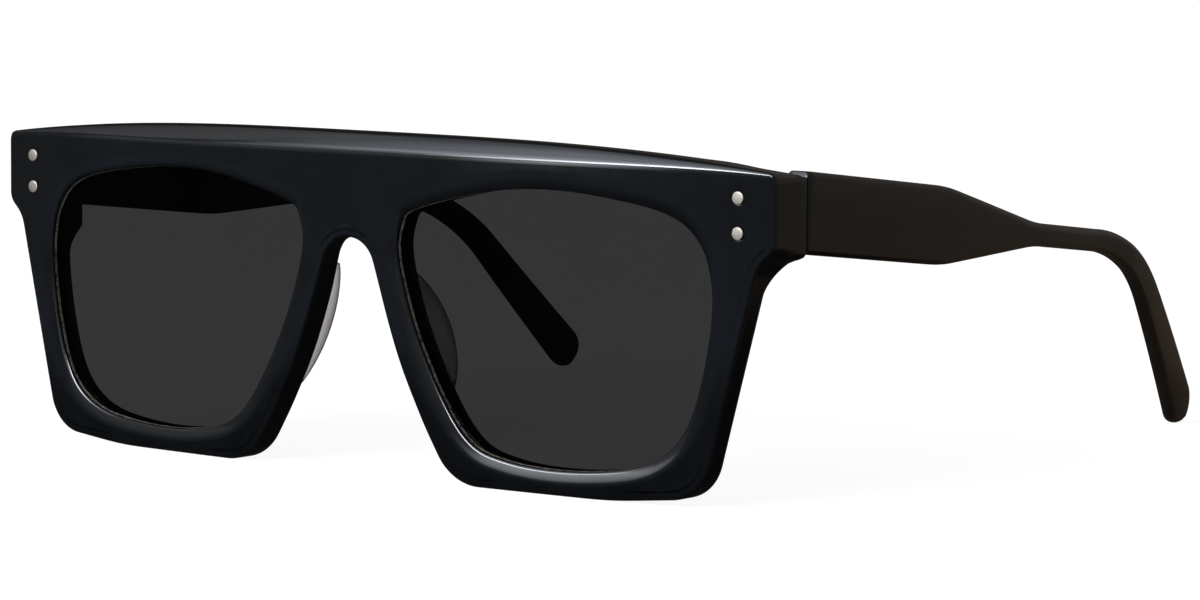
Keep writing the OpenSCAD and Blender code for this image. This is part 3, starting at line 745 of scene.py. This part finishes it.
def painted_highlight_edge(name):
    """Matt cream for the painted highlight lines on the lens edge, with grinding lines along it."""
    material, tree, place = new_material(name)
    lines = add(tree, "ShaderNodeMapRange", [blotches(tree, place, 0.5), 0.42, 0.6])
    base = add(tree, "ShaderNodeMix", [lines, "#8c8478", "#2a2622"], data_type="RGBA")
    roughness = add(tree, "ShaderNodeMapRange", [lines, 0, 1, 0.55, 0.4])
    shader = add(tree, "ShaderNodeBsdfPrincipled", {"Base Color": base, "Roughness": roughness})
    add(tree, "ShaderNodeOutputMaterial", [shader])
    return material


def clear_acetate(name):
    """Clear acetate with soft flow lines, and browner and denser rims where it turns away."""
    material, tree, place = new_material(name)
    flow = add(tree, "ShaderNodeMapRange",
               [blotches(tree, place, 2.2, 2, (1, 1, 0.35)), 0.35, 0.65])
    facing = add(tree, "ShaderNodeLayerWeight", {"Blend": 0.5}).outputs["Facing"]
    rim = add(tree, "ShaderNodeMapRange", [facing, 0.3, 0.8])
    body = add(tree, "ShaderNodeMix", [flow, "#dbc5bc", "#bea598"], data_type="RGBA")
    base = add(tree, "ShaderNodeMix", [rim, body, "#5a4336"], data_type="RGBA")
    cover = add(tree, "ShaderNodeMapRange", [rim, 0, 1, 0.32, 0.9])
    roughness = add(tree, "ShaderNodeMapRange", [flow, 0, 1, 0.04, 0.1])
    shader = add(tree, "ShaderNodeBsdfPrincipled",
                 {"Base Color": base, "Roughness": roughness, "Alpha": cover, "IOR": 1.47})
    add(tree, "ShaderNodeOutputMaterial", [shader])
    return material


def metal(name, deep, pale, rough, grain_mm, squeeze):
    """Metal with grain and slight tarnish, squeezed across the way it was drawn or cut."""
    material, tree, place = new_material(name)
    grain = blotches(tree, place, grain_mm, 4, squeeze)
    tarnish = add(tree, "ShaderNodeMapRange", [grain, 0.3, 0.7])
    base = add(tree, "ShaderNodeMix", [tarnish, deep, pale], data_type="RGBA")
    roughness = add(tree, "ShaderNodeMapRange", [tarnish, 0, 1, rough * 0.8, rough * 1.25])
    bump = add(tree, "ShaderNodeBump", {"Height": grain, "Strength": 0.3, "Distance": 0.006 * MM})
    shader = add(tree, "ShaderNodeBsdfPrincipled",
                 {"Base Color": base, "Metallic": 1.0, "Roughness": roughness, "Normal": bump})
    add(tree, "ShaderNodeOutputMaterial", [shader])
    return material


# Buffed cellulose acetate: a black mirror with sharp lamps in it.
# Its faint blue tint is painted reflection of the bluish light in front.
front_black = acetate("polished_black_acetate", "#08090a", "#0c0d0f", 0.1, 0.1)
# Tumbled cellulose acetate: warmer black under a satin skin, which spreads the lamps.
# Its warmer tint is painted reflection of the brown studio behind.
temple_black = acetate("satin_black_acetate", "#0c0b0a", "#100e0c", 0.22, 0.06)
# Moulded, tinted lens: dims what lies behind it and hardly mirrors.
lens_grey = tinted_lens("grey_sun_lens")
# Painted highlight: two fine matt cream lines on the lens edge, beside the black rim.
cream_highlight_paint = painted_highlight_edge("lens_edge_painted_highlight")
# Polished clear acetate: faint pink against the light, brown at its rims.
pad_clear = clear_acetate("clear_pad_acetate")
# Satin nickel plate: small warm grey discs with no mirror image.
nickel = metal("satin_nickel_rivet", "#a59e92", "#bdb6a9", 0.42, 0.12, (1, 1, 1))
# Black plated brass: hinges that stay dark behind the lens.
hinge_black = metal("black_plated_hinge", "#1d1c1b", "#2b2a28", 0.3, 0.4, (1, 1, 6))
# Blackened steel: a turned screw, a shade lighter than its hinge.
screw_steel = metal("blackened_steel_screw", "#2f3031", "#434446", 0.28, 0.2, (1, 1, 8))
# Drawn steel wire: plain bright grey with grain along it, inside the temple.
wire_steel = metal("steel_core_wire", "#7d8084", "#94979b", 0.35, 0.3, (1, 0.1, 1))


# Pieces.
def place_piece(obj, body, slot, material, *nodes):
    """The piece gets its material, and takes the place of those CAD nodes on its body."""
    obj.data.materials.clear()
    obj.data.materials.append(material)
    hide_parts(*nodes)
    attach(obj, body)
    return obj


rivets = rivet_tree()
front_piece = acetate_front()
cut_rivet_seats(front_piece)
place_piece(front_piece, "front", "front_acetate", front_black, "front_frame")
for word, side in (("left", 1), ("right", -1)):
    place_piece(lens(f"tinted_lens_{word}", side), "front", "lens_tint", lens_grey, f"lens_{word}")
    edge = place_piece(lens_edge(f"lens_edge_{word}", side), "front", "lens_tint", cream_highlight_paint)
    edge.data.materials.append(front_black)
    # Faces between the highlight depths take the painted highlight cream, the rest black acetate.
    for face in edge.data.polygons:
        depth = face.center.y / MM + MIDDLE_Y - sag(face.center.x / MM)
        face.material_index = 0 if any(low < depth < high for low, high in HIGHLIGHT_LINES) else 1
    place_piece(nose_pad(f"clear_pad_{word}", side), "front", "pad_acetate", pad_clear,
                f"nose_pad_{word}")
    place_piece(temple(f"temple_acetate_{word}", side), f"temple_{word}_arm", "temple_acetate",
                temple_black, f"temple_{word}")
    place_piece(rivet_row(f"rivet_pair_{word}", side, rivets), "front", "rivet_metal", nickel,
                f"rivets_{word}")
METALS = (("hinge_screw", screw_steel), ("hinge_", hinge_black), ("core_wire", wire_steel))
for node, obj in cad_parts.items():
    for start, material in METALS:
        if node.startswith(start):
            obj.data.materials.clear()
            obj.data.materials.append(material)
            break


# Floor, light and camera.
def studio_floor():
    """Pale round floor. The camera sees it white, with the soft shadow of the glasses. In
    reflections it is the photograph's dim studio: bluish in front, brown behind, and dark close by,
    which is partly painted shade of the glasses on their surroundings. Its bands are set by the
    distance from the middle and by X and Y, all in metres."""
    bm = bmesh.new()
    bmesh.ops.create_circle(bm, cap_ends=True, segments=96, radius=4)
    floor = to_object(bm, "floor")
    floor.location.z = -0.05 * MM
    material, tree, place = new_material("white_studio_floor")
    floor.data.materials.append(material)
    path = add(tree, "ShaderNodeLightPath").outputs
    axes = add(tree, "ShaderNodeSeparateXYZ", [place]).outputs
    far = add(tree, "ShaderNodeVectorMath", [place], operation="LENGTH")
    matt = add(tree, "ShaderNodeBsdfDiffuse", ["#e6e6e4"])
    glow = add(tree, "ShaderNodeMapRange", [far, 0.3, 1.2, 0.918, 0.968])
    white = add(tree, "ShaderNodeEmission", {"Strength": glow})
    dim_matt = add(tree, "ShaderNodeBsdfDiffuse", ["#808080"])
    lit = add(tree, "ShaderNodeAddShader", [white, dim_matt])
    ahead = faded(tree, far, 0.3, 0.55, "#5f6a77", "#5a5c64")
    ahead = faded(tree, axes["X"], -0.36, -0.18, "#555556", ahead)
    # Painted shade, in part: the reflected floor goes dark close to the glasses.
    ahead = faded(tree, far, 0.15, 0.25, "#232120", ahead)
    beyond = add(tree, "ShaderNodeMapRange", [far, 0.1, 0.14])
    between = add(tree, "ShaderNodeMapRange", [axes["Y"], 0, 0.05, 0, 0.55])
    open_back = add(tree, "ShaderNodeMath", [beyond, between], operation="MAXIMUM")
    left_half = add(tree, "ShaderNodeMapRange", [axes["X"], 0.02, 0.07])
    open_side = add(tree, "ShaderNodeMath", [left_half, open_back], operation="MULTIPLY")
    tone = faded(tree, far, 0.2, 0.35, "#766658", "#6d6860")
    # Painted shade, in part: behind the glasses the reflected floor stays dark near them and towards
    # -X, brown further out.
    behind = add(tree, "ShaderNodeMix", [open_side, "#1e1b19", tone], data_type="RGBA")
    reflected = faded(tree, axes["Y"], -0.085, -0.045, ahead, behind)
    glossy = add(tree, "ShaderNodeEmission", [reflected, 1.0])
    seen = add(tree, "ShaderNodeMath", [path["Is Camera Ray"], path["Is Transmission Ray"]],
               operation="MAXIMUM")
    first = add(tree, "ShaderNodeMixShader", [seen, matt, lit])
    both = add(tree, "ShaderNodeMixShader", [path["Is Glossy Ray"], first, glossy])
    add(tree, "ShaderNodeOutputMaterial", [both])


def studio_world():
    """Backdrop: white for the camera and through the lenses, a dim studio in reflections."""
    world = bpy.data.worlds.new("studio")
    bpy.context.scene.world = world
    tree = empty_tree(world)
    path = add(tree, "ShaderNodeLightPath").outputs
    way = add(tree, "ShaderNodeTexCoord").outputs["Generated"]
    axes = add(tree, "ShaderNodeSeparateXYZ", [way]).outputs
    fill = add(tree, "ShaderNodeBackground", ["#e9edf2", 0.25])
    rear = faded(tree, axes["X"], -0.75, 0.1, "#1b1a19", "#857e78")
    dim = faded(tree, axes["Y"], -0.4, 0.3, "#6c6e71", rear)
    glossy = add(tree, "ShaderNodeBackground", [dim, 1.0])
    white = add(tree, "ShaderNodeBackground", ["#ffffff", 1.0])
    seen = add(tree, "ShaderNodeMath", [path["Is Camera Ray"], path["Is Transmission Ray"]],
               operation="MAXIMUM")
    soft = add(tree, "ShaderNodeMixShader", [path["Is Glossy Ray"], fill, glossy])
    both = add(tree, "ShaderNodeMixShader", [seen, soft, white])
    add(tree, "ShaderNodeOutputWorld", [both])


# Where all lamps look, in metres.
LAMP_AIM = Vector((0, -0.05, 0.03))


def softbox(name, azimuth, elevation, spread, rise, strength, tint,
            fade_in=(0, 1, 1), fade_out=(0, 1, 1), fade_up=(1, 1), distance=1.2):
    """Area lamp that looks at the glasses. Azimuth 0 is straight in front, towards +X is positive.
    spread and rise are the half angles it fills. Like a real softbox it is uneven. Across its
    width it rises from fade_in[2] of the full strength at fade_in[0] to all of it at fade_in[1],
    and falls from all of it at fade_out[0] to fade_out[2] of it at fade_out[1]. From bottom to
    top it goes from fade_up[0] to fade_up[1]."""
    light = bpy.data.lights.new(name, "AREA")
    light.shape = "RECTANGLE"
    light.size = 2 * distance * math.tan(math.radians(spread))
    light.size_y = 2 * distance * math.tan(math.radians(rise))
    light.energy = strength * math.pi * light.size * light.size_y
    light.color = colour(tint)[:3]
    tree = empty_tree(light)
    place = add(tree, "ShaderNodeNewGeometry").outputs["Parametric"]
    axes = add(tree, "ShaderNodeSeparateXYZ", [place]).outputs
    rising = add(tree, "ShaderNodeMapRange", [axes["X"], *fade_in, 1])
    falling = add(tree, "ShaderNodeMapRange", [axes["X"], *fade_out[:2], 1, fade_out[2]])
    across = add(tree, "ShaderNodeMath", [rising, falling], operation="MULTIPLY")
    down = add(tree, "ShaderNodeMapRange", [axes["Y"], 0, 1, 1, 0])
    below = add(tree, "ShaderNodeMath", [down, down], operation="MULTIPLY")
    upwards = add(tree, "ShaderNodeMapRange", [below, 0, 1, fade_up[1], fade_up[0]])
    share = add(tree, "ShaderNodeMath", [across, upwards], operation="MULTIPLY")
    emission = add(tree, "ShaderNodeEmission", {"Strength": share})
    add(tree, "ShaderNodeOutputLight", [emission])
    lamp = bpy.data.objects.new(name, light)
    a, e = math.radians(azimuth), math.radians(elevation)
    way = Vector((math.sin(a) * math.cos(e), -math.cos(a) * math.cos(e), math.sin(e)))
    lamp.location = LAMP_AIM + way * distance
    lamp.rotation_euler = way.to_track_quat("Z", "Y").to_euler()
    lamp.visible_camera = False
    bpy.context.scene.collection.objects.link(lamp)


# Camera fitted to the outline in the photograph. Its axes are its right, up and back.
CAMERA_MM = 126.803
CAMERA_AT = Vector((0.405251, -0.475509 - MIDDLE_Y * MM, 0.085928))
CAMERA_AXES = Matrix(((0.798101, 0.602460, 0.008739), (-0.064376, 0.070843, 0.995408),
                      (0.599074, -0.794999, 0.095324)))


def photo_camera():
    cam = bpy.data.cameras.new("photo_camera")
    cam.sensor_width = 36
    cam.lens = CAMERA_MM
    cam.clip_start, cam.clip_end = 0.01, 50
    obj = bpy.data.objects.new("photo_camera", cam)
    obj.matrix_world = Matrix.Translation(CAMERA_AT) @ CAMERA_AXES.transposed().to_4x4()
    bpy.context.scene.collection.objects.link(obj)
    bpy.context.scene.camera = obj


studio_floor()
studio_world()
softbox("key_strip", -20, 23.5, 28, 3.5, 36, "#f4f8ff", fade_in=(0.2, 0.38, 0.045))
softbox("low_box", -28, 8.6, 28, 9, 6.5, "#f4f8ff",
        fade_in=(0.42, 0.53, 0.07), fade_out=(0.53, 0.66, 0.04), fade_up=(0.35, 1), distance=0.45)
softbox("upper_box", -24, 38.5, 24.3, 11.5, 8.5, "#e9f0fb",
        fade_in=(0, 0.27, 0.2), fade_out=(0.8, 1, 0.05), fade_up=(1, 0.15))
softbox("left_box", -64, 31, 8.6, 11, 0.75, "#ffffff", fade_in=(0.2, 1, 0.3))
photo_camera()
bpy.context.scene.view_settings.view_transform = "Standard"
